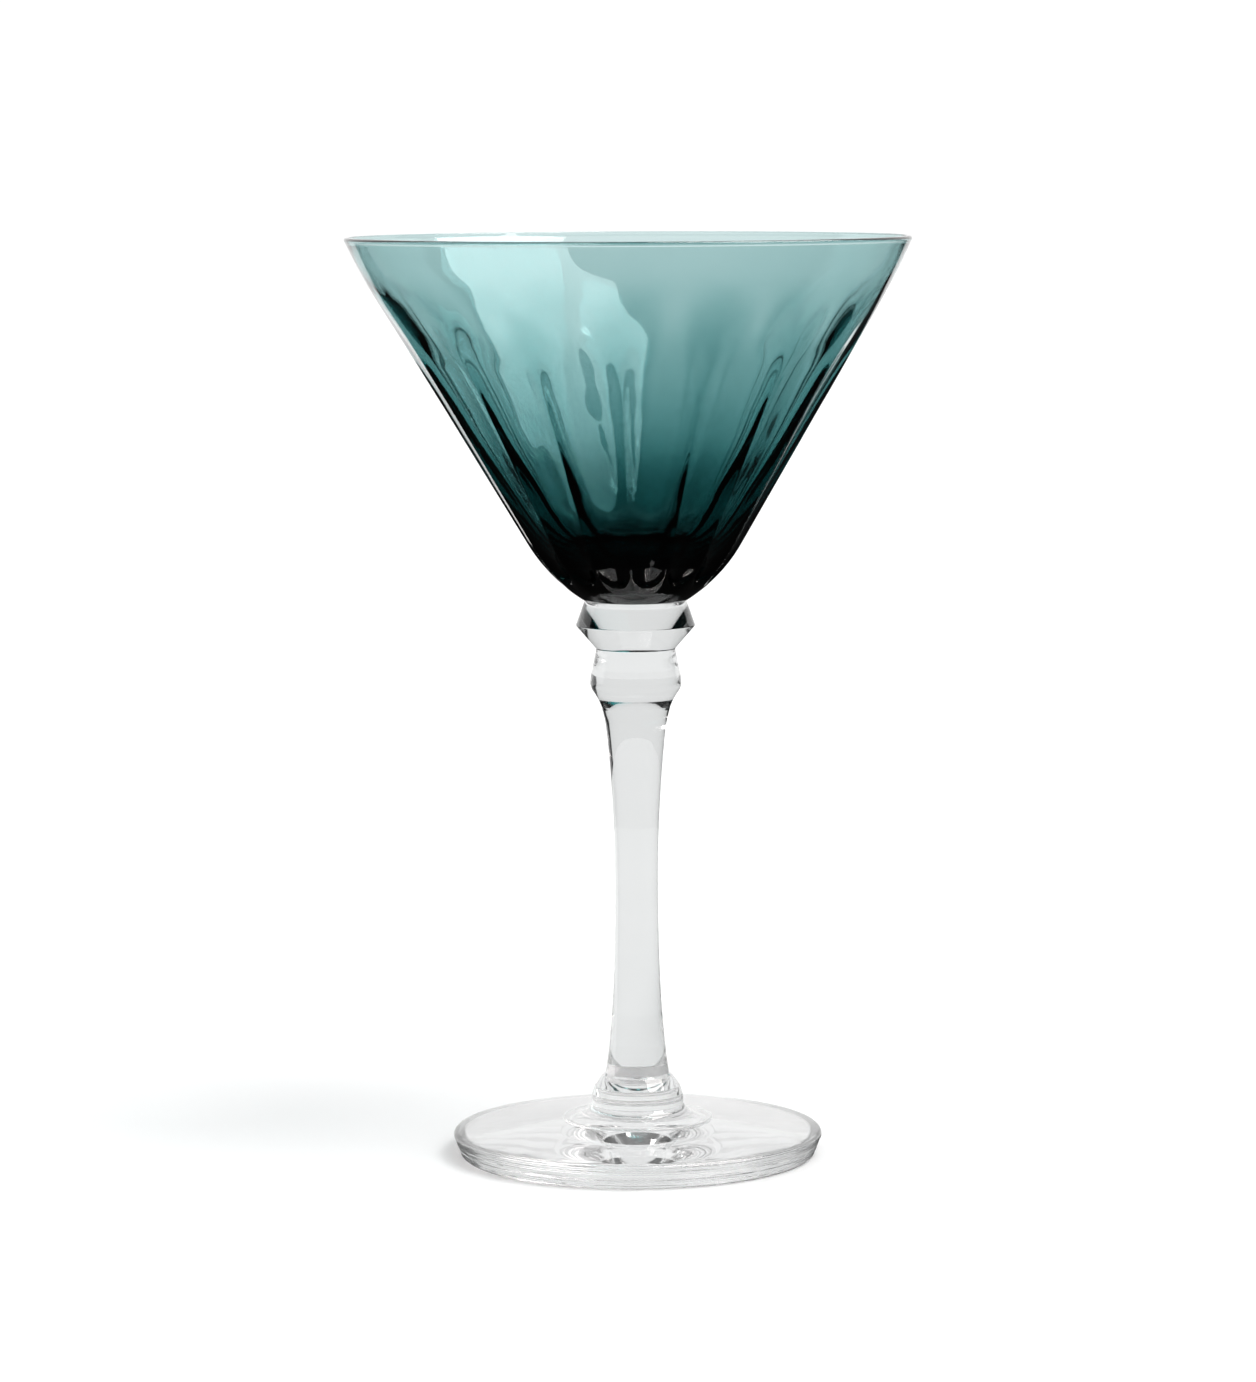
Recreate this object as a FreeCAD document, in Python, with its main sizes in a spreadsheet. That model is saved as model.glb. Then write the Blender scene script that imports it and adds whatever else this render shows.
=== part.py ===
"""Martini glass: a fluted teal bowl fused to a clear stem of five pieces.

Every piece is a PartDesign body turned about the Z axis. The sheet named Sizes holds
every driving dimension in millimetres, and the sketches are bound to its cells.
The origin is the centre of the underside of the foot, and +Z is up.
"""
import FreeCAD, Part
import math
import os

import Sketcher

# Driving dimensions: name of the cell, value in millimetres (degrees and ratios are marked).
SIZES = {
    # the whole glass
    "glass_height": 185.0,
    "rim_radius": 56.5,
    "foot_radius": 37.4,
    # heights of the fused joints, from the foot up
    "foot_seat_height": 7.2,
    "button_top_height": 16.5,
    "stem_top_height": 91.1,
    "knop_top_height": 102.1,
    "bowl_bottom_height": 112.4,
    # radii of the fused joints
    "foot_seat_radius": 15.1,
    "button_top_radius": 6.45,
    "stem_top_radius": 6.95,
    "knop_top_radius": 8.0,
    "bowl_bottom_radius": 10.2,
    # foot
    "foot_hollow_depth": 0.8,
    "foot_hollow_radius": 30.0,
    "foot_hollow_flat": 4.0,
    "foot_hollow_round": 430.0,
    "foot_edge_height": 4.1,
    "foot_top_height": 5.2,
    "foot_side_taper": 1.6,
    "foot_shoulder": 1.3,
    "foot_bottom_fillet": 0.6,
    "foot_edge_fillet": 0.8,
    # base button
    "flange_thickness": 0.4,
    "flange_cove_radius": 6.0,
    "button_waist_radius": 10.2,
    "button_waist_height": 9.0,
    "button_radius": 8.85,
    "button_shoulder_height": 13.2,
    "button_fillet": 1.5,
    # stem
    "stem_waist_radius": 4.32,
    "stem_waist_height": 54.0,
    "stem_lower_radius": 5.0,
    "stem_lower_height": 30.0,
    "stem_upper_radius": 5.7,
    "stem_upper_height": 84.0,
    "stem_foot_round": 169.0,
    "stem_lower_round": 350.0,
    "stem_upper_round": 300.0,
    "stem_flare_round": 34.0,
    # baluster knop
    "knop_radius": 9.35,
    "knop_widest_height": 95.6,
    "knop_neck_height": 101.0,
    "knop_neck_radius": 8.15,
    "knop_fillet": 2.0,
    # collar knop
    "collar_radius": 12.0,
    "collar_edge_height": 107.4,
    "collar_neck_height": 102.8,
    "collar_fillet": 0.4,
    # outside of the bowl
    "belly_radius": 21.6,
    "belly_height": 124.0,
    "belly_round": 34.2,
    "cone_top_radius": 50.0,
    "cone_top_height": 172.0,
    "lip_round": 139.0,
    "lip_wall": 1.5,
    "lip_fillet": 0.7,
    # inside of the bowl
    "inner_round": 267.0,
    "floor_radius": 8.5,
    "floor_height": 124.8,
    "floor_fillet": 3.0,
    # flutes of the bowl: four sections of one cutter, ratios of the section's own radius
    "flute_foot_height": 112.0,
    "flute_foot_radius": 11.6,
    "flute_foot_lift": -0.12,
    "flute_scoop_height": 120.0,
    "flute_scoop_radius": 19.2,
    "flute_scoop_lift": -0.12,
    "flute_wall_height": 150.0,
    "flute_wall_radius": 37.0,
    "flute_wall_lift": -0.12,
    "flute_arch_height": 176.0,
    "flute_arch_radius": 52.3,
    "flute_arch_lift": 2.4,
    "flute_back_ratio": 1.0455,
    "flute_half_ratio": 0.4,
    "flute_first_angle": 8.85,   # degrees, the middle of the first flute from +X
    "flute_count": 16,
}


def start_value(expression):
    """Value of a sum or product of cells, read from left to right."""
    words = expression.split()
    total = SIZES[words[0]]
    for operator, name in zip(words[1::2], words[2::2]):
        if operator == "+":
            total += SIZES[name]
        elif operator == "-":
            total -= SIZES[name]
        else:
            total *= SIZES[name]
    return total


def bound(expression):
    """The same sum or product as an expression on the sheet."""
    return " ".join("Sizes." + word if word in SIZES else word for word in expression.split())


def add_sizes(doc):
    """Puts every driving dimension in a spreadsheet, one named cell to a row."""
    sheet = doc.addObject("Spreadsheet::Sheet", "Sizes")
    for row, (name, value) in enumerate(SIZES.items(), start=1):
        sheet.set("A%d" % row, name)
        sheet.set("B%d" % row, str(value))
        sheet.setAlias("B%d" % row, name)
    doc.recompute()
    return sheet


def origin_plane(body, role):
    """Origin plane of a body, such as XZ_Plane."""
    for feature in body.Origin.OriginFeatures:
        if feature.Role == role:
            return feature
    raise RuntimeError("no plane " + role)


def add_sketch(body, name, role):
    """Empty sketch on one of the body's own origin planes."""
    sketch = body.newObject("Sketcher::SketchObject", name)
    sketch.AttachmentSupport = [(origin_plane(body, role), "")]
    sketch.MapMode = "FlatFace"
    return sketch


def arc_between(start, end, radius):
    """Arc from start to end; a positive radius turns left, a negative one right."""
    middle = (start + end) * 0.5
    along = end - start
    left = FreeCAD.Vector(-along.y, along.x, 0).normalize()
    offset = math.sqrt(radius ** 2 - (along.Length / 2) ** 2)
    centre = middle + left * math.copysign(offset, radius)
    first, last = (start, end) if radius > 0 else (end, start)
    first_angle = math.atan2(first.y - centre.y, first.x - centre.x)
    last_angle = math.atan2(last.y - centre.y, last.x - centre.x)
    circle = Part.Circle(centre, FreeCAD.Vector(0, 0, 1), abs(radius))
    return Part.ArcOfCircle(circle, first_angle, last_angle)


def fix_point(sketch, edge, end, corner, label):
    """Holds one end of an edge at a corner, whose two coordinates are expressions or None."""
    axes = (("DistanceX", -2, corner[0]), ("DistanceY", -1, corner[1]))
    for kind, axis, expression in axes:
        if expression is None:
            sketch.addConstraint(Sketcher.Constraint("PointOnObject", edge, end, axis))
        else:
            value = start_value(expression)
            index = sketch.addConstraint(Sketcher.Constraint(kind, -1, 1, edge, end, value))
            sketch.renameConstraint(index, label + kind[-1])
            sketch.setExpression("Constraints." + label + kind[-1], bound(expression))


def draw_outline(sketch, corners):
    """Closed outline through corners (across, up, round): round is None for a straight edge
    to the next corner, or the name of an arc's radius, with a minus sign to turn right."""
    points = []
    for across, up, _ in corners:
        points.append(FreeCAD.Vector(start_value(across) if across else 0,
                                     start_value(up) if up else 0, 0))
    ends = []
    for number, (_, _, rounding) in enumerate(corners):
        start = points[number]
        end = points[(number + 1) % len(points)]
        if rounding is None:
            edge = sketch.addGeometry(Part.LineSegment(start, end), False)
            ends.append((edge, 1, 2))
        else:
            turn = -1 if rounding.startswith("-") else 1
            name = rounding.lstrip("-")
            edge = sketch.addGeometry(arc_between(start, end, turn * SIZES[name]), False)
            ends.append((edge, 1, 2) if turn > 0 else (edge, 2, 1))
            index = sketch.addConstraint(Sketcher.Constraint("Radius", edge, SIZES[name]))
            sketch.renameConstraint(index, "round%d" % number)
            sketch.setExpression("Constraints.round%d" % number, bound(name))
    for number, (edge, first, _) in enumerate(ends):
        before, _, last = ends[number - 1]
        sketch.addConstraint(Sketcher.Constraint("Coincident", before, last, edge, first))
        fix_point(sketch, edge, first, corners[number][:2], "corner%d" % number)


def turned_body(doc, name, corners):
    """Body turned about the Z axis from a half outline in the XZ plane."""
    body = doc.addObject("PartDesign::Body", name)
    body.Label = name
    sketch = add_sketch(body, name + "_outline", "XZ_Plane")
    draw_outline(sketch, corners)
    turn = body.newObject("PartDesign::Revolution", name + "_turn")
    turn.Profile = sketch
    turn.ReferenceAxis = (sketch, ["V_Axis"])
    turn.Angle = 360
    sketch.Visibility = False
    doc.recompute()
    return body


def ring_edges(shape, across, up):
    """Names of the circular edges about the Z axis with this radius and height."""
    names = []
    for number, edge in enumerate(shape.Edges, start=1):
        curve = None if edge.Degenerated else edge.Curve
        if isinstance(curve, Part.Circle):
            same_radius = abs(curve.Radius - start_value(across)) < 1e-4
            same_height = abs(curve.Center.z - (start_value(up) if up else 0)) < 1e-4
            if same_radius and same_height:
                names.append("Edge%d" % number)
    return names


def round_edge(body, name, across, up, radius):
    """Fillet on the ring where two faces meet."""
    base = body.Tip
    edges = ring_edges(base.Shape, across, up)
    if not edges:
        raise RuntimeError("no edge for " + name)
    fillet = body.newObject("PartDesign::Fillet", name)
    fillet.Base = (base, edges)
    fillet.setExpression("Radius", bound(radius))
    body.Document.recompute()


def make_foot(doc):
    """Thick disc foot: tapered side, gently rising top and a shallow hollow underneath."""
    edge_in = "foot_radius - foot_side_taper"
    top_edge = "foot_radius - foot_shoulder"
    body = turned_body(doc, "foot", [
        (None, "foot_hollow_depth", None),
        ("foot_hollow_flat", "foot_hollow_depth", "-foot_hollow_round"),
        ("foot_hollow_radius", None, None),
        (edge_in, None, None),
        ("foot_radius", "foot_edge_height", None),
        (top_edge, "foot_top_height", None),
        ("foot_seat_radius", "foot_seat_height", None),
        (None, "foot_seat_height", None),
    ])
    round_edge(body, "foot_bottom_rounding", edge_in, None, "foot_bottom_fillet")
    round_edge(body, "foot_edge_rounding", "foot_radius", "foot_edge_height", "foot_edge_fillet")
    round_edge(body, "foot_top_rounding", top_edge, "foot_top_height", "foot_edge_fillet")
    return body


def make_base_button(doc):
    """Button that spreads the stem onto the foot, with a coved flange."""
    body = turned_body(doc, "base_button", [
        (None, "foot_seat_height", None),
        ("foot_seat_radius", "foot_seat_height", None),
        ("foot_seat_radius", "foot_seat_height + flange_thickness", "-flange_cove_radius"),
        ("button_waist_radius", "button_waist_height", None),
        ("button_radius", "button_shoulder_height", None),
        ("button_top_radius", "button_top_height", None),
        (None, "button_top_height", None),
    ])
    round_edge(body, "button_rounding", "button_radius", "button_shoulder_height", "button_fillet")
    return body


def make_stem(doc):
    """Drawn stem, waisted between two flares."""
    return turned_body(doc, "stem", [
        (None, "button_top_height", None),
        ("button_top_radius", "button_top_height", "-stem_foot_round"),
        ("stem_lower_radius", "stem_lower_height", "-stem_lower_round"),
        ("stem_waist_radius", "stem_waist_height", "-stem_upper_round"),
        ("stem_upper_radius", "stem_upper_height", "-stem_flare_round"),
        ("stem_top_radius", "stem_top_height", None),
        (None, "stem_top_height", None),
    ])


def make_stem_knop(doc):
    """Baluster knop, widest below its middle."""
    body = turned_body(doc, "stem_knop", [
        (None, "stem_top_height", None),
        ("stem_top_radius", "stem_top_height", None),
        ("knop_radius", "knop_widest_height", None),
        ("knop_neck_radius", "knop_neck_height", None),
        ("knop_top_radius", "knop_top_height", None),
        (None, "knop_top_height", None),
    ])
    round_edge(body, "knop_rounding", "knop_radius", "knop_widest_height", "knop_fillet")
    return body


def make_collar_knop(doc):
    """Collar under the bowl: two cones that meet in a narrow rounded edge."""
    body = turned_body(doc, "collar_knop", [
        (None, "knop_top_height", None),
        ("knop_top_radius", "knop_top_height", None),
        ("knop_top_radius", "collar_neck_height", None),
        ("collar_radius", "collar_edge_height", None),
        ("bowl_bottom_radius", "bowl_bottom_height", None),
        (None, "bowl_bottom_height", None),
    ])
    round_edge(body, "collar_rounding", "collar_radius", "collar_edge_height", "collar_fillet")
    return body


def flute_section(body, level):
    """Section of the flute cutter: an arc that bulges towards the axis, closed by its chord."""
    cone = "flute_%s_radius" % level
    back = cone + " * flute_back_ratio + flute_%s_lift" % level
    half = cone + " * flute_half_ratio"
    sketch = add_sketch(body, "flute_%s_section" % level, "XY_Plane")
    sketch.setExpression("AttachmentOffset.Base.z", bound("flute_%s_height" % level))
    sketch.setExpression("AttachmentOffset.Rotation.Angle", bound("flute_first_angle"))
    start = FreeCAD.Vector(start_value(back), start_value(half), 0)
    end = FreeCAD.Vector(start.x, -start.y, 0)
    arc = sketch.addGeometry(arc_between(start, end, SIZES[cone]), False)
    chord = sketch.addGeometry(Part.LineSegment(end, start), False)
    sketch.addConstraint(Sketcher.Constraint("Coincident", arc, 2, chord, 1))
    sketch.addConstraint(Sketcher.Constraint("Coincident", chord, 2, arc, 1))
    sketch.addConstraint(Sketcher.Constraint("Symmetric", chord, 1, chord, 2, -1))
    radius = sketch.addConstraint(Sketcher.Constraint("Radius", arc, SIZES[cone]))
    sketch.renameConstraint(radius, "round")
    sketch.setExpression("Constraints.round", bound(cone))
    across = sketch.addConstraint(Sketcher.Constraint("DistanceX", -1, 1, arc, 1, start.x))
    sketch.renameConstraint(across, "back")
    sketch.setExpression("Constraints.back", bound(back))
    up = sketch.addConstraint(Sketcher.Constraint("DistanceY", -1, 1, arc, 1, start.y))
    sketch.renameConstraint(up, "half")
    sketch.setExpression("Constraints.half", bound(half))
    sketch.Visibility = False
    return sketch


def cut_flutes(doc, body):
    """One flute as a loft of four sections, repeated round the bowl."""
    before = body.Shape.Volume
    sections = [flute_section(body, level) for level in ("foot", "scoop", "wall", "arch")]
    doc.recompute()
    flute = body.newObject("PartDesign::SubtractiveLoft", "flute")
    flute.Profile = sections[0]
    flute.Sections = sections[1:]
    flute.Ruled = True
    doc.recompute()
    pattern = body.newObject("PartDesign::PolarPattern", "flutes")
    pattern.Originals = [flute]
    pattern.Axis = (origin_axis(body), [""])
    pattern.Angle = 360
    pattern.setExpression("Occurrences", bound("flute_count"))
    body.Tip = pattern
    doc.recompute()
    if body.Shape.Volume > before - 1.0:
        raise RuntimeError("the flutes cut nothing")


def origin_axis(body):
    """The body's own Z axis."""
    for feature in body.Origin.OriginFeatures:
        if feature.Role == "Z_Axis":
            return feature
    raise RuntimeError("no Z axis")


def make_bowl(doc):
    """Cone bowl: solid base, wall thinning to a rounded lip, and flutes cut in its outside."""
    inner_edge = "rim_radius - lip_wall"
    body = turned_body(doc, "bowl", [
        (None, "bowl_bottom_height", None),
        ("bowl_bottom_radius", "bowl_bottom_height", "belly_round"),
        ("belly_radius", "belly_height", None),
        ("cone_top_radius", "cone_top_height", "lip_round"),
        ("rim_radius", "glass_height", None),
        (inner_edge, "glass_height", "-inner_round"),
        ("floor_radius", "floor_height", None),
        (None, "floor_height", None),
    ])
    round_edge(body, "floor_rounding", "floor_radius", "floor_height", "floor_fillet")
    round_edge(body, "lip_outer_rounding", "rim_radius", "glass_height", "lip_fillet")
    round_edge(body, "lip_inner_rounding", inner_edge, "glass_height", "lip_fillet")
    cut_flutes(doc, body)
    return body


def check_document(doc, bodies):
    """Stops before anything is written if a feature failed or a shape is not one valid solid."""
    for item in doc.Objects:
        if "Invalid" in item.State or "Error" in item.State:
            raise RuntimeError("%s failed: %s" % (item.Label, item.State))
    for body in bodies:
        shape = body.Shape
        if shape.isNull() or not shape.isValid() or len(shape.Solids) != 1:
            raise RuntimeError("%s is not one valid solid" % body.Label)


def main():
    doc = FreeCAD.newDocument("martini_glass")
    add_sizes(doc)
    makers = (make_foot, make_base_button, make_stem, make_stem_knop, make_collar_knop, make_bowl)
    bodies = [make(doc) for make in makers]
    doc.recompute()
    check_document(doc, bodies)
    os.makedirs("parts", exist_ok=True)
    for body in bodies:
        body.Shape.exportStep("parts/%s.step" % body.Label)
        print(body.Label, round(body.Shape.Volume), body.Shape.BoundBox)


main()
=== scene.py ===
"""Looks of the martini glass: smooth turned glass pieces, a fluted bowl, light and camera."""
import math

import bpy
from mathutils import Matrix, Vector, noise


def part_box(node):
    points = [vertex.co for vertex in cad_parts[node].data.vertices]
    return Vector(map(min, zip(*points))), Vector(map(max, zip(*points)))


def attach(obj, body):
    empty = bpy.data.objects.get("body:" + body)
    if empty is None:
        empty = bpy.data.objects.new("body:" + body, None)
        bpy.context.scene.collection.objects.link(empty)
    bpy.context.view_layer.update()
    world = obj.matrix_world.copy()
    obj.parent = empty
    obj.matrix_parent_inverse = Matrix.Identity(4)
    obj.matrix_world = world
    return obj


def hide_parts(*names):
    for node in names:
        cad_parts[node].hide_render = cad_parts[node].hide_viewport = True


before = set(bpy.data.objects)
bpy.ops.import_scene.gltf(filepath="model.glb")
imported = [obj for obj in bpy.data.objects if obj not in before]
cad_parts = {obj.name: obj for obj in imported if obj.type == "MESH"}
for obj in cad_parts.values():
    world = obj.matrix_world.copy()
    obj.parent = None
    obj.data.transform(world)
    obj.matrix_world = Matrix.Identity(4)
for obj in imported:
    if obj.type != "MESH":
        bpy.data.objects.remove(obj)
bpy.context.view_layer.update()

MM = 0.001
AROUND = 256                 # divisions round a turned piece
FLUTES = 16
FLUTE_DIVISIONS = 26         # divisions across one flute
RIDGE_CROWDING = 0.09        # how strongly those divisions crowd together at the ridges
BOWL_LEVELS = 260            # divisions up the outside of the bowl
RIDGE_TURN = math.radians(-92.4)   # direction of the ridge that faces the front
BOWL_LEAN = -0.0165          # sideways slip of the hand-made bowl for each unit of height


# ---------------------------------------------------------------- heights from the frame
def top_of(node):
    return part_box(node)[1][2] / MM


def width_of(node):
    low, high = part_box(node)
    return (high[0] - low[0]) / 2 / MM


SEAT = top_of("foot")
BUTTON_TOP = top_of("base_button")
STEM_TOP = top_of("stem")
KNOP_TOP = top_of("stem_knop")
COLLAR_TOP = top_of("collar_knop")
RIM_TOP = top_of("bowl")
FOOT_RADIUS = width_of("foot")
SEAT_RADIUS = width_of("base_button")

# radii where two pieces are fused, in millimetres
STEM_FOOT = 6.45
STEM_HEAD = 6.95
KNOP_HEAD = 8.0
COLLAR_HEAD = 10.2

# foot, in millimetres
HOLLOW_CENTRE = (0.5, 0.8)   # radius and height of the middle of the hollow underside
HOLLOW_ROUND = 765.0         # radius of the hollow's arc
FOOT_REST = 1.9              # how far inside the foot's radius it starts to touch the table
SIDE_LOW = (FOOT_RADIUS - 1.45, 0.35)
SIDE_HIGH = (FOOT_RADIUS + 0.05, 4.3)
FOOT_SHOULDER = (FOOT_RADIUS - 0.9, 5.1)
SHOULDER_ROUND = 1.1
GROOVE_DEPTH = 0.05          # of the lines left round the foot's edge

# clear pieces between the foot and the bowl, in millimetres
FLANGE_THICKNESS = 0.4
COVE_END = (10.0, 9.2)       # radius and height
COVE_ROUND = 7.0
STEM_WAIST = (4.32, 54.0)
KNOP_RADIUS = 9.15
COLLAR_NECK_HEIGHT = 102.8
COLLAR_EDGE = (12.0, 107.4)
COLLAR_ROUND = 0.4

# outside of the bowl, in millimetres
BELLY_HEIGHT = 124.0         # the round belly passes into the cone here
BELLY_RADIUS = 21.6
BELLY_ROUND = 34.2
BELLY_CENTRE = (-7.86, 141.38)
CONE_TOP_HEIGHT = 172.0
CONE_TOP_RADIUS = 50.0
CONE_SLOPE = (CONE_TOP_RADIUS - BELLY_RADIUS) / (CONE_TOP_HEIGHT - BELLY_HEIGHT)
LIP_START = 170.0            # the cone starts to curve inwards here
LIP_CURVE = 0.0045

# flutes, in millimetres where not a ratio
FLUTE_AXIS = 1.962           # distance of a flute's own axis, in radii of the cone
FLUTE_BELLY = 120.0          # under this height the flutes follow the belly
FLUTE_BELLY_RADIUS = 19.2
FLUTE_BELLY_SLOPE = 0.955
FLUTE_END = 150.0            # the flutes start to run out here
FLUTE_END_LENGTH = 17.5
FLUTE_END_RISE = 1.3
SCOOP_LOW = 116.2            # height of the lower end of the scoop at each flute's foot
SCOOP_ARCH = 2.2             # how much higher the scoop starts at its sides
SCOOP_EDGE = 0.9
SCOOP_DEPTH = 1.15
SCOOP_TOP = (118.0, 125.0)   # the scoop runs out between these heights
RIDGE_SOFTNESS = 0.16
RIDGE_SOFTER = 0.9           # added between these heights
RIDGE_SOFTENS = (155.0, 170.0)

# ends of the bowl, and the unevenness of its wall, in millimetres
BOTTOM_GAP = 0.05            # keeps the bowl's underside off the collar's top
FLOOR_HEIGHT = 124.1         # middle of the bowl's inside
RIB_DEPTH = 0.34
OUTER_WAVES = 0.06
INNER_WAVES = 0.05
WAVE_WIDTH = 7.0             # round the bowl
WAVE_LENGTH = 12.0           # up the wall
# heights where ribs and waves start, are full, start to end and are gone
RIB_HEIGHTS = (128.0, 140.0, 160.0, 168.0)
OUTER_WAVE_HEIGHTS = (116.0, 130.0, 176.0, 184.0)
INNER_WAVE_HEIGHTS = (126.0, 140.0, 176.0, 184.0)

LIP_DROP = 0.55              # the roll of the lip starts this far under the rim
# the roll's points: how far in from the outside, and how far under the rim
LIP_ROLL = ((0.04, 0.4), (0.13, 0.2), (0.28, 0.07), (0.5, 0.0), (0.92, 0.0), (1.06, 0.08),
            (1.13, 0.22))


# ---------------------------------------------------------------- outlines, in millimetres
def arc(start, end, radius, steps):
    """Points after start up to end on an arc; a positive radius turns left."""
    (r0, z0), (r1, z1) = start, end
    half = math.hypot(r1 - r0, z1 - z0) / 2
    lift = math.copysign(math.sqrt(radius * radius - half * half), radius)
    across = (-(z1 - z0) / (2 * half), (r1 - r0) / (2 * half))
    centre = ((r0 + r1) / 2 + across[0] * lift, (z0 + z1) / 2 + across[1] * lift)
    first = math.atan2(z0 - centre[1], r0 - centre[0])
    last = math.atan2(z1 - centre[1], r1 - centre[0])
    turn = (last - first + math.pi) % (2 * math.pi) - math.pi
    size = abs(radius)
    return [(centre[0] + size * math.cos(first + turn * k / steps),
             centre[1] + size * math.sin(first + turn * k / steps)) for k in range(1, steps + 1)]


def line(start, end, step=0.7):
    """Points after start up to end on a straight line."""
    count = max(1, math.ceil(math.hypot(end[0] - start[0], end[1] - start[1]) / step))
    return [(start[0] + (end[0] - start[0]) * k / count,
             start[1] + (end[1] - start[1]) * k / count) for k in range(1, count + 1)]


def rounded(corners):
    """Outline through corners (radius, height, rounding), each corner rounded by its arc."""
    path = [corners[0][:2]]
    for before, corner, after in zip(corners, corners[1:], corners[2:]):
        here = Vector(corner[:2])
        back = (Vector(before[:2]) - here).normalized()
        ahead = (Vector(after[:2]) - here).normalized()
        if corner[2] == 0:
            path += line(path[-1], corner[:2])
            continue
        half_angle = back.angle(ahead) / 2
        reach = corner[2] / math.tan(half_angle)
        start = here + back * reach
        end = here + ahead * reach
        side = 1 if back.x * ahead.y - back.y * ahead.x < 0 else -1
        path += line(path[-1], tuple(start))
        steps = max(3, math.ceil((math.pi - 2 * half_angle) / math.radians(5)))
        path += arc(tuple(start), tuple(end), side * corner[2], steps)
    path += line(path[-1], corners[-1][:2])
    return path


def smooth_through(points, step=0.8):
    """Curve through points (radius, height) that rise, by a Hermite spline in the height."""
    slopes = []
    for k in range(len(points)):
        low = points[max(k - 1, 0)]
        high = points[min(k + 1, len(points) - 1)]
        slopes.append((high[0] - low[0]) / (high[1] - low[1]))
    path = [points[0]]
    for (r0, z0), (r1, z1), s0, s1 in zip(points, points[1:], slopes, slopes[1:]):
        rise = z1 - z0
        count = max(2, math.ceil(rise / step))
        for k in range(1, count + 1):
            t = k / count
            r = ((2 * t ** 3 - 3 * t ** 2 + 1) * r0 + (t ** 3 - 2 * t ** 2 + t) * rise * s0
                 + (-2 * t ** 3 + 3 * t ** 2) * r1 + (t ** 3 - t ** 2) * rise * s1)
            path.append((r, z0 + rise * t))
    return path


# ---------------------------------------------------------------- meshes
def grid_mesh(name, rings, low_pole, high_pole, materials, slots):
    """Closed mesh from rings of points, with a pole at each end; slots gives each band's
    material, and bands that meet with different materials meet in a sharp edge."""
    count = len(rings[0])
    points = [low_pole] + [point for ring in rings for point in ring] + [high_pole]
    points = [(x * MM, y * MM, z * MM) for x, y, z in points]
    faces = []
    bands = []
    for k in range(count):
        faces.append((0, 1 + (k + 1) % count, 1 + k))
        bands.append(slots[0])
    for level in range(len(rings) - 1):
        low = 1 + level * count
        high = low + count
        for k in range(count):
            after = (k + 1) % count
            faces.append((low + k, low + after, high + after, high + k))
            bands.append(slots[level + 1])
    last = 1 + (len(rings) - 1) * count
    for k in range(count):
        faces.append((last + k, last + (k + 1) % count, len(points) - 1))
        bands.append(slots[-1])
    mesh = bpy.data.meshes.new(name)
    mesh.from_pydata(points, [], faces)
    mesh.polygons.foreach_set("material_index", bands)
    mesh.polygons.foreach_set("use_smooth", [True] * len(faces))
    for material in materials:
        mesh.materials.append(material)
    sharp = set()
    for level in range(len(rings)):
        if slots[level] != slots[level + 1]:
            start = 1 + level * count
            for k in range(count):
                sharp.add(tuple(sorted((start + k, start + (k + 1) % count))))
    for edge in mesh.edges:
        if tuple(sorted(edge.vertices)) in sharp:
            edge.use_edge_sharp = True
    mesh.update()
    piece = bpy.data.objects.new(name, mesh)
    bpy.context.scene.collection.objects.link(piece)
    return piece


def turned(name, outline, materials, fused_low, fused_high):
    """Piece turned from an outline that rises; fused ends get the second material."""
    rings = []
    for radius, height in outline:
        rings.append([(radius * math.cos(2 * math.pi * k / AROUND),
                       radius * math.sin(2 * math.pi * k / AROUND), height) for k in range(AROUND)])
    slots = [0] * (len(rings) + 1)
    if fused_low:
        slots[0] = 1
    if fused_high:
        slots[-1] = 1
    low = (0, 0, outline[0][1])
    high = (0, 0, outline[-1][1])
    return grid_mesh(name, rings, low, high, materials, slots)


# ---------------------------------------------------------------- materials
def node_material(name):
    material = bpy.data.materials.new(name)
    material.use_nodes = True
    tree = material.node_tree
    return material, tree, tree.nodes["Principled BSDF"]


def noise_in_place(tree, scale, detail):
    """Noise fixed to the piece, in metres."""
    coords = tree.nodes.new("ShaderNodeTexCoord")
    field = tree.nodes.new("ShaderNodeTexNoise")
    field.inputs["Scale"].default_value = scale
    field.inputs["Detail"].default_value = detail
    tree.links.new(coords.outputs["Object"], field.inputs["Vector"])
    return field.outputs["Fac"]


TINT_SCALE = 90.0            # how closely the drift of the tint repeats, for each metre
WAVE_SCALE = 160.0
GLASS_IOR = 1.5
TEAL = (0.05, 0.45, 0.455)   # colour that the bowl's glass lets through
TEAL_DENSITY = 455


def glass(name, pale, dark, wave_depth):
    """Smooth glass whose base colour drifts at random between two colours, with faint hand-worked
    waves; a grey base colour is painted shade that dims what is seen through the glass.
    """
    material, tree, shader = node_material(name)
    shader.inputs["Roughness"].default_value = 0.0
    shader.inputs["IOR"].default_value = GLASS_IOR
    shader.inputs["Transmission Weight"].default_value = 1.0
    # base colour: drifts at random between pale and dark; where both are grey it is painted shade
    tint_and_shade = tree.nodes.new("ShaderNodeMix")
    tint_and_shade.data_type = "RGBA"
    tint_and_shade.inputs["A"].default_value = (*pale, 1)
    tint_and_shade.inputs["B"].default_value = (*dark, 1)
    tree.links.new(noise_in_place(tree, TINT_SCALE, 2.0), tint_and_shade.inputs["Factor"])
    tree.links.new(tint_and_shade.outputs["Result"], shader.inputs["Base Color"])
    waves = tree.nodes.new("ShaderNodeBump")
    waves.inputs["Strength"].default_value = 1.0
    waves.inputs["Distance"].default_value = wave_depth * MM
    tree.links.new(noise_in_place(tree, WAVE_SCALE, 1.0), waves.inputs["Height"])
    tree.links.new(waves.outputs["Normal"], shader.inputs["Normal"])
    return material, tree


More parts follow.
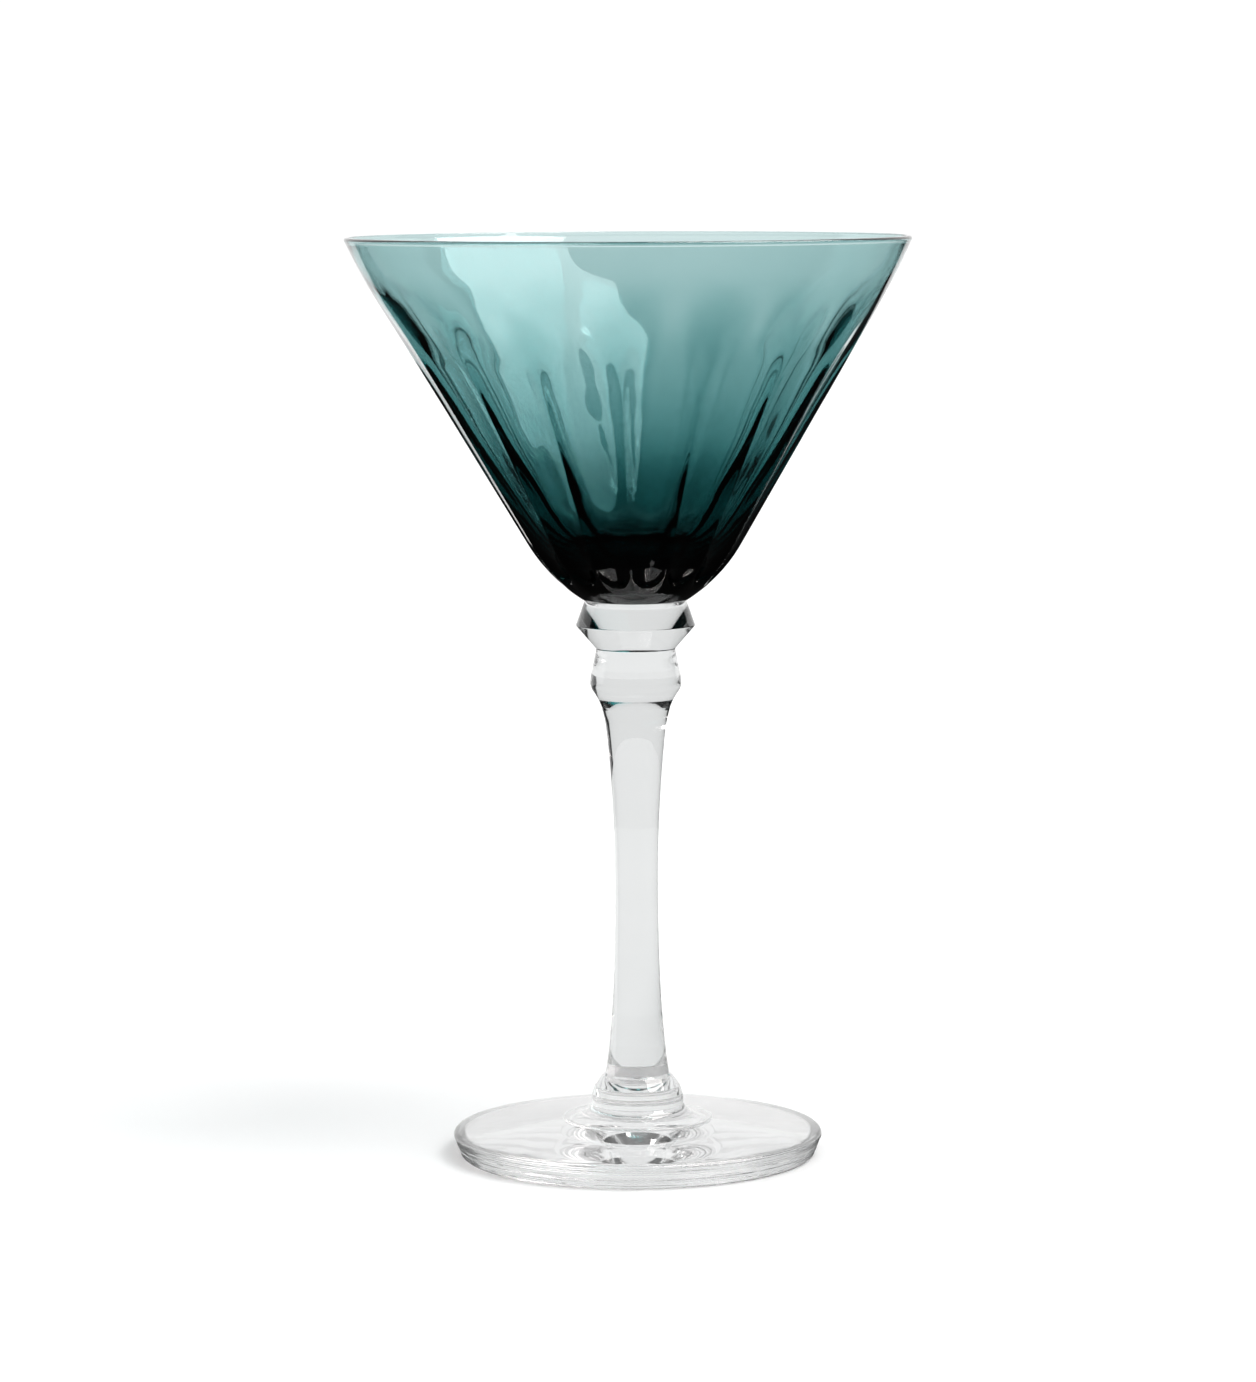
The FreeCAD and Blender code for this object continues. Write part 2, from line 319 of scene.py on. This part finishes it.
def fused_glass():
    """Hidden face where two pieces of glass are fused: light passes it unbent."""
    material = bpy.data.materials.new("fused_glass")
    material.use_nodes = True
    tree = material.node_tree
    tree.nodes.remove(tree.nodes["Principled BSDF"])
    clear = tree.nodes.new("ShaderNodeBsdfTransparent")
    tree.links.new(clear.outputs[0], tree.nodes["Material Output"].inputs["Surface"])
    return material


def teal_glass():
    """Glass coloured in its mass, so that it is pale at the thin rim and dark at the base."""
    material, tree = glass("teal_glass", (1.0, 1.0, 1.0), (0.97, 0.99, 0.99), 0.03)
    absorb = tree.nodes.new("ShaderNodeVolumeAbsorption")
    absorb.inputs["Color"].default_value = (*TEAL, 1)
    absorb.inputs["Density"].default_value = TEAL_DENSITY
    tree.links.new(absorb.outputs[0], tree.nodes["Material Output"].inputs["Volume"])
    return material


# The grey of the clear pieces and of the foot is painted shade: it dims what is seen through them,
# standing in for the dimmer room round the glass; the drift between each pair of greys is random
# tone.
CLEAR_GLASS = glass("clear_glass", (0.77, 0.78, 0.78), (0.73, 0.745, 0.745), 0.02)[0]
FOOT_GLASS = glass("foot_clear_glass", (0.84, 0.85, 0.85), (0.80, 0.81, 0.81), 0.015)[0]
FUSED_GLASS = fused_glass()
TEAL_GLASS = teal_glass()


# ---------------------------------------------------------------- pieces
def make_foot():
    """Disc with a shallow hollow underneath and fine lines round its side."""
    outline = [HOLLOW_CENTRE]
    outline += arc(HOLLOW_CENTRE, (FOOT_RADIUS - FOOT_REST, 0.0), -HOLLOW_ROUND, 30)
    outline.append(SIDE_LOW)
    for radius, height in line(SIDE_LOW, SIDE_HIGH, 0.1):
        groove = math.sin(height * 5.2) + 0.6 * math.sin(height * 8.3 + 1.0)
        outline.append((radius + GROOVE_DEPTH * groove, height))
    outline += arc(outline[-1], FOOT_SHOULDER, SHOULDER_ROUND, 6)
    outline += line(outline[-1], (SEAT_RADIUS, SEAT))
    return turned("foot_glass", outline, [FOOT_GLASS, FUSED_GLASS], False, True)


def make_base_button():
    """Button with a coved flange that spreads the stem onto the foot."""
    flange_top = (SEAT_RADIUS, SEAT + FLANGE_THICKNESS)
    outline = [(SEAT_RADIUS, SEAT), flange_top]
    outline += arc(flange_top, COVE_END, -COVE_ROUND, 16)
    outline += rounded([
        (*COVE_END, 0), (9.35, 10.2, 0.4), (9.15, 12.3, 0.6), (8.6, 13.9, 0.8), (7.0, 16.1, 0.5),
        (STEM_FOOT, BUTTON_TOP, 0),
    ])[1:]
    return turned("base_button_glass", outline, [FOOT_GLASS, FUSED_GLASS], True, True)


def make_stem():
    """Drawn stem, waisted between two flares."""
    outline = smooth_through([
        (STEM_FOOT, BUTTON_TOP), (5.88, 20.6), (5.0, 30.0), (4.52, 40.2), STEM_WAIST,
        (4.52, 66.3), (5.05, 76.1), (5.7, 84.0), (6.2, 88.0), (STEM_HEAD, STEM_TOP),
    ])
    return turned("stem_glass", outline, [CLEAR_GLASS, FUSED_GLASS], True, True)


def make_stem_knop():
    """Baluster knop, widest below its middle."""
    outline = smooth_through([
        (STEM_HEAD, STEM_TOP), (7.55, 92.5), (8.2, 93.6), (8.85, 94.6),
        (KNOP_RADIUS, 95.5), (KNOP_RADIUS, 96.5),
        (8.95, 97.7), (8.65, 99.0), (8.4, 100.3), (8.15, 101.4), (KNOP_HEAD, KNOP_TOP),
    ], 0.2)
    return turned("stem_knop_glass", outline, [CLEAR_GLASS, FUSED_GLASS], True, True)


def make_collar_knop():
    """Two cones that meet in a narrow edge."""
    outline = rounded([
        (KNOP_HEAD, KNOP_TOP, 0), (KNOP_HEAD, COLLAR_NECK_HEIGHT, COLLAR_ROUND),
        (*COLLAR_EDGE, COLLAR_ROUND), (COLLAR_HEAD, COLLAR_TOP, 0),
    ])
    return turned("collar_knop_glass", outline, [CLEAR_GLASS, FUSED_GLASS], True, True)


def cone_radius(height):
    return BELLY_RADIUS + CONE_SLOPE * (height - BELLY_HEIGHT)


def bowl_outside(height):
    """Radius of the bowl's outside over the ridges."""
    if height < BELLY_HEIGHT:
        rise = BELLY_CENTRE[1] - height
        return BELLY_CENTRE[0] + math.sqrt(BELLY_ROUND ** 2 - rise ** 2)
    radius = cone_radius(height)
    if height > LIP_START:
        radius -= LIP_CURVE * (height - LIP_START) ** 2
    return radius


def fade(value, low, high):
    """Smooth change from 0 at low to 1 at high."""
    t = min(max((value - low) / (high - low), 0), 1)
    return t * t * (3 - 2 * t)


def between(value, start, full, falling, end):
    """1 between full and falling, changing smoothly to 0 at start and at end."""
    return fade(value, start, full) * (1 - fade(value, falling, end))


def soft_min(a, b, softness):
    """Smaller of two values, with a rounded change from one to the other."""
    blend = max(softness - abs(a - b), 0) / softness
    return min(a, b) - blend * blend * softness / 4


def flute_radius(turn, height):
    """Radius of the flute's floor at an angle from the flute's middle."""
    cone = cone_radius(height)
    if height < FLUTE_BELLY:
        cone = FLUTE_BELLY_RADIUS - (FLUTE_BELLY - height) * FLUTE_BELLY_SLOPE
    distance = FLUTE_AXIS * cone
    across = distance * math.sin(turn)
    floor = distance * math.cos(turn) - math.sqrt(cone * cone - across * across)
    rise = max(height - FLUTE_END, 0) / FLUTE_END_LENGTH
    return floor + FLUTE_END_RISE * rise * rise


def hand_waves(angle, height, radius, seed):
    """Unevenness left by blowing, between -1 and 1, drawn out along the wall."""
    place = Vector((radius * math.cos(angle) / WAVE_WIDTH, radius * math.sin(angle) / WAVE_WIDTH,
                    height / WAVE_LENGTH + seed))
    return noise.noise(place)


def ring_at(around, height, radius_at):
    """Ring of points at one height; the hand-made bowl leans a little to one side."""
    slip = BOWL_LEAN * (height - COLLAR_TOP)
    ring = []
    for angle, turn in around:
        radius = radius_at(angle, turn)
        ring.append((radius * math.cos(angle) + slip, radius * math.sin(angle), height))
    return ring


def scoop(turn, height):
    """Extra depth of the thumb-shaped hollow at the foot of each flute."""
    across = turn * FLUTES / math.pi
    low = SCOOP_LOW + SCOOP_ARCH * across * across
    return SCOOP_DEPTH * between(height, low, low + SCOOP_EDGE, *SCOOP_TOP) * (1 - across ** 2)


def bowl_around():
    """Angle of each column of the bowl's mesh, and its turn from the middle of its flute;
    the columns crowd together at the ridges."""
    turns = []
    for k in range(FLUTE_DIVISIONS):
        t = k / FLUTE_DIVISIONS
        crowded = t - RIDGE_CROWDING * math.sin(2 * math.pi * t)
        turns.append(2 * math.pi / FLUTES * (crowded - 0.5))
    return [(RIDGE_TURN + 2 * math.pi * (flute + 0.5) / FLUTES + turn, turn)
            for flute in range(FLUTES) for turn in turns]


def bowl_outer_rings(around, heights):
    """Outside of the bowl from the collar up: the ridges with the flutes cut between them."""
    rings = []
    for height in heights:
        outside = bowl_outside(height)
        softness = RIDGE_SOFTNESS + RIDGE_SOFTER * fade(height, *RIDGE_SOFTENS)
        unevenness = OUTER_WAVES * between(height, *OUTER_WAVE_HEIGHTS)

        def outer_radius(angle, turn):
            wave = unevenness * hand_waves(angle, height, outside, 0.0)
            floor = flute_radius(turn, height) - scoop(turn, height)
            return soft_min(outside, floor + wave, softness)

        rings.append(ring_at(around, height, outer_radius))
    return rings


def inner_wall(lip):
    """Curve of the bowl's inside from its floor up, which sets how dark the glass looks."""
    return smooth_through([
        (4.0, 124.15), (7.0, 124.45), (9.5, 125.0), (13.8, 127.0), (17.6, 130.4), (22.2, 136.0),
        (28.75, 144.0), (34.2, 152.0), (39.65, 160.0), (45.45, 168.0), (50.8, 176.0),
        (lip - 1.2, RIM_TOP - 0.7),
    ], 0.35)


def bowl_inner_rings(around, lip):
    """Inside of the bowl from the lip down, with soft ribs behind the flutes."""
    rings = []
    for radius, height in reversed(inner_wall(lip)):
        ribs = RIB_DEPTH * between(height, *RIB_HEIGHTS)
        unevenness = INNER_WAVES * between(height, *INNER_WAVE_HEIGHTS)

        def inner_radius(angle, turn):
            return (radius - ribs * math.cos(FLUTES * turn)
                    + unevenness * hand_waves(angle, height, radius, 7.0))

        rings.append(ring_at(around, height, inner_radius))
    return rings


def make_bowl():
    """One closed mesh: up the fluted outside, over the rolled lip and down the inside."""
    around = bowl_around()
    bottom = COLLAR_TOP + BOTTOM_GAP
    side_top = RIM_TOP - LIP_DROP
    heights = [bottom + (side_top - bottom) * k / BOWL_LEVELS for k in range(BOWL_LEVELS + 1)]
    rings = bowl_outer_rings(around, heights)
    lip = bowl_outside(side_top)
    for inset, drop in LIP_ROLL:
        rings.append(ring_at(around, RIM_TOP - drop, lambda angle, turn: lip - inset))
    rings += bowl_inner_rings(around, lip)
    slots = [0] * (len(rings) + 1)
    low = (0, 0, bottom)
    high = (BOWL_LEAN * (FLOOR_HEIGHT - COLLAR_TOP), 0, FLOOR_HEIGHT)
    return grid_mesh("bowl_glass", rings, low, high, [TEAL_GLASS], slots)


PIECES = {
    "foot": (make_foot, "clear_glass"),
    "base_button": (make_base_button, "clear_glass"),
    "stem": (make_stem, "clear_glass"),
    "stem_knop": (make_stem_knop, "clear_glass"),
    "collar_knop": (make_collar_knop, "clear_glass"),
    "bowl": (make_bowl, "teal_glass"),
}
for node, (make, slot) in PIECES.items():
    piece = make()
    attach(piece, "root")
    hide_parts(node)


# ---------------------------------------------------------------- studio
# brightness, white being 1
ROOM_BELOW = 0.015           # the room that the glass sees under the horizon
ROOM_ABOVE = 0.04
BACKDROP = 1.04              # the backdrop that the glass sees
CAMERA_SKY = 1.05
FLOOR_LIGHT = 0.86
FLOOR_GLOW = 0.45            # share of the table's own light in what is seen through glass

# shape of the backdrop, as parts of a direction's length
BACKDROP_EDGE = (0.31, 0.41)   # how far to the back it starts, and is full
TABLE_DIMMING = 3.0          # how fast the backdrop ends under the horizon
SIDE_DIMMING = -0.35         # less backdrop on the right, near the horizon


def make_floor():
    """White table, with a glow of its own where it is seen through glass."""
    mesh = bpy.data.meshes.new("floor")
    size = 6.0
    mesh.from_pydata([(-size, -size, 0), (size, -size, 0), (size, size, 0), (-size, size, 0)],
                     [], [(0, 1, 2, 3)])
    material, tree, shader = node_material("floor_white")
    shader.inputs["Base Color"].default_value = (0.9, 0.9, 0.9, 1)
    shader.inputs["Roughness"].default_value = 0.9
    shader.inputs["Specular IOR Level"].default_value = 0.0
    glow = tree.nodes.new("ShaderNodeEmission")
    glow.inputs["Strength"].default_value = 1.0
    path = tree.nodes.new("ShaderNodeLightPath")
    share = tree.nodes.new("ShaderNodeMath")
    share.operation = "MULTIPLY"
    share.inputs[1].default_value = FLOOR_GLOW
    tree.links.new(path.outputs["Is Transmission Ray"], share.inputs[0])
    mix = tree.nodes.new("ShaderNodeMixShader")
    tree.links.new(share.outputs[0], mix.inputs[0])
    tree.links.new(shader.outputs[0], mix.inputs[1])
    tree.links.new(glow.outputs[0], mix.inputs[2])
    tree.links.new(mix.outputs[0], tree.nodes["Material Output"].inputs["Surface"])
    mesh.materials.append(material)
    floor = bpy.data.objects.new("floor", mesh)
    floor.location.z = -0.1 * MM
    floor.visible_glossy = False
    bpy.context.scene.collection.objects.link(floor)


def math_node(tree, operation, first, second):
    """Math node on two sockets or numbers."""
    node = tree.nodes.new("ShaderNodeMath")
    node.operation = operation
    for socket, value in zip(node.inputs, (first, second)):
        if isinstance(value, (int, float)):
            socket.default_value = value
        else:
            tree.links.new(value, socket)
    return node.outputs[0]


def smooth_step(tree, value, low, high, dark, bright):
    """Value that changes smoothly from dark at low to bright at high."""
    node = tree.nodes.new("ShaderNodeMapRange")
    node.interpolation_type = "SMOOTHSTEP"
    node.inputs["From Min"].default_value = low
    node.inputs["From Max"].default_value = high
    node.inputs["To Min"].default_value = dark
    node.inputs["To Max"].default_value = bright
    tree.links.new(value, node.inputs["Value"])
    return node.outputs["Result"]


def white_sky(tree, strength):
    """White background whose strength is a number or a socket."""
    sky = tree.nodes.new("ShaderNodeBackground")
    sky.inputs["Color"].default_value = (1, 1, 1, 1)
    if isinstance(strength, float):
        sky.inputs["Strength"].default_value = strength
    else:
        tree.links.new(strength, sky.inputs["Strength"])
    return sky.outputs[0]


def make_world():
    """Sky that is white to the camera and lights the floor evenly, while the glass sees a
    bright backdrop behind it and a dark room on the camera's side and below."""
    world = bpy.data.worlds.new("studio")
    bpy.context.scene.world = world
    world.use_nodes = True
    tree = world.node_tree
    tree.nodes.clear()
    coords = tree.nodes.new("ShaderNodeTexCoord")
    split = tree.nodes.new("ShaderNodeSeparateXYZ")
    tree.links.new(coords.outputs["Generated"], split.inputs[0])
    below = math_node(tree, "MINIMUM", split.outputs["Z"], 0.0)
    dimming = math_node(tree, "MULTIPLY", below, TABLE_DIMMING)
    behind = math_node(tree, "ADD", split.outputs["Y"], dimming)
    room = smooth_step(tree, split.outputs["Z"], -0.3, 0.2, ROOM_BELOW, ROOM_ABOVE)
    aside = math_node(tree, "MULTIPLY", split.outputs["X"], SIDE_DIMMING)
    near_level = smooth_step(tree, split.outputs["Z"], 0.15, 0.45, 1.0, 0.0)
    behind = math_node(tree, "ADD", behind, math_node(tree, "MULTIPLY", aside, near_level))
    backdrop = smooth_step(tree, behind, *BACKDROP_EDGE, 0.0, BACKDROP)
    studio = white_sky(tree, math_node(tree, "MAXIMUM", backdrop, room))
    path = tree.nodes.new("ShaderNodeLightPath")
    to_floor = tree.nodes.new("ShaderNodeMixShader")
    tree.links.new(path.outputs["Is Diffuse Ray"], to_floor.inputs[0])
    tree.links.new(studio, to_floor.inputs[1])
    tree.links.new(white_sky(tree, FLOOR_LIGHT), to_floor.inputs[2])
    to_camera = tree.nodes.new("ShaderNodeMixShader")
    tree.links.new(path.outputs["Is Camera Ray"], to_camera.inputs[0])
    tree.links.new(to_floor.outputs[0], to_camera.inputs[1])
    tree.links.new(white_sky(tree, CAMERA_SKY), to_camera.inputs[2])
    out = tree.nodes.new("ShaderNodeOutputWorld")
    tree.links.new(to_camera.outputs[0], out.inputs["Surface"])


def add_light(name, place, target, size, power):
    """Rectangular lamp that only the glass mirrors or bends; the floor takes no light from it."""
    data = bpy.data.lights.new(name, "AREA")
    data.shape = "RECTANGLE"
    data.size, data.size_y = size
    data.energy = power
    data.color = (1.0, 0.94, 0.93)
    lamp = bpy.data.objects.new(name, data)
    lamp.location = place
    lamp.visible_diffuse = False
    lamp.rotation_euler = (Vector(target) - Vector(place)).to_track_quat("-Z", "Y").to_euler()
    bpy.context.scene.collection.objects.link(lamp)


def add_sun(direction, spread, strength):
    """Even soft light that only the floor takes, for the shadow."""
    data = bpy.data.lights.new("shadow_light", "SUN")
    data.angle = math.radians(spread)
    data.energy = strength
    lamp = bpy.data.objects.new("shadow_light", data)
    lamp.rotation_euler = Vector(direction).to_track_quat("Z", "Y").to_euler()
    lamp.visible_glossy = False
    lamp.visible_transmission = False
    bpy.context.scene.collection.objects.link(lamp)


CAMERA_PLACE = (-0.0011, -0.9731, 0.2030)
CAMERA_TILT = 6.386          # degrees down
CAMERA_ROLL = 0.25
CAMERA_LENS = 127.08


def make_camera():
    """Long lens from the front, a little above the rim."""
    data = bpy.data.cameras.new("camera")
    data.lens = CAMERA_LENS
    data.sensor_width = 36.0
    camera = bpy.data.objects.new("camera", data)
    camera.location = CAMERA_PLACE
    camera.rotation_euler = (math.radians(90 - CAMERA_TILT), math.radians(CAMERA_ROLL), 0)
    bpy.context.scene.collection.objects.link(camera)
    bpy.context.scene.camera = camera


make_floor()
make_world()
add_light("key", place=(0.475, -0.08, 0.94), target=(0, 0, 0.1), size=(0.76, 0.8), power=14.0)
add_light("strip", place=(0.21, -0.1, 1.1), target=(0, 0, 0.15), size=(0.15, 0.24), power=0.95)
add_sun(direction=(0.42, -0.23, 0.87), spread=40, strength=1.8)
make_camera()
scene = bpy.context.scene
scene.view_settings.view_transform = "Standard"
scene.cycles.max_bounces = 24
scene.cycles.transmission_bounces = 24
scene.cycles.glossy_bounces = 16
scene.cycles.transparent_max_bounces = 32
